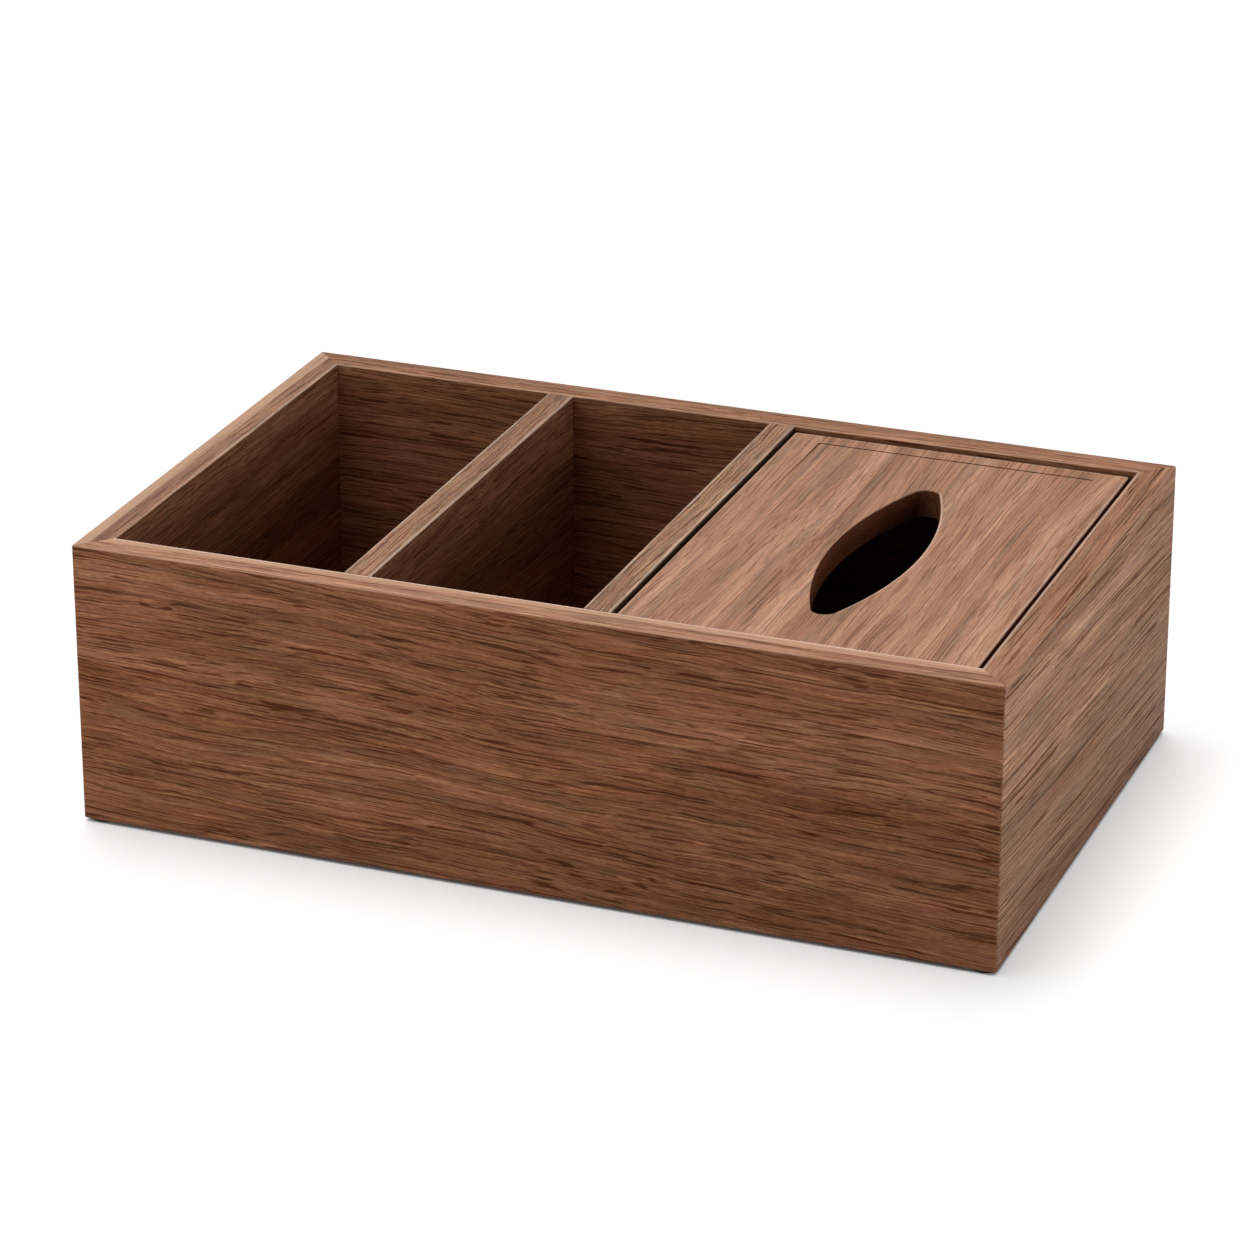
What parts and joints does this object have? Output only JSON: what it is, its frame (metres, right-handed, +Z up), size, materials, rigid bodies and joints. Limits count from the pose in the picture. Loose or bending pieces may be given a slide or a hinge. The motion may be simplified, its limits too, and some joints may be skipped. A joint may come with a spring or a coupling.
{
  "type": "tissue box organizer",
  "caption": "Low wooden desk organizer box with mitred corners, fixed dividers, open bays and a lift-out lid with a lens-shaped slot over the bay that holds tissues.",
  "frame": {"origin": "on the table, under the middle of the box", "axes": "+X along the front to the right, +Y towards the back, +Z up"},
  "size_m": [0.32, 0.2, 0.1],
  "materials": {
    "walnut": "oiled walnut, satin, open grain",
    "base_veneer": "walnut veneer on plywood, satin",
    "birch": "bare birch, hidden in the joints",
    "rubber": "dark matt rubber, self-adhesive"
  },
  "bodies": {
    "box": {"front_board": "walnut", "back_board": "walnut", "left_end_board": "walnut", "right_end_board": "walnut", "left_divider": "walnut", "right_divider": "walnut", "base_panel": "base_veneer", "front_lid_ledge": "walnut", "back_lid_ledge": "walnut", "left_lid_ledge": "walnut", "right_lid_ledge": "walnut", "front_left_spline": "birch", "front_right_spline": "birch", "back_left_spline": "birch", "back_right_spline": "birch", "left_divider_dowels": "birch", "right_divider_dowels": "birch", "front_left_foot": "rubber", "front_right_foot": "rubber", "back_left_foot": "rubber", "back_right_foot": "rubber"},
    "lid": {"lid": "walnut"}
  },
  "joints": [
    {"name": "lid_lift", "type": "slide", "parent": "box", "child": "lid", "axis": [0, 0, 1], "range_m": [0, 0.12]}
  ]
}
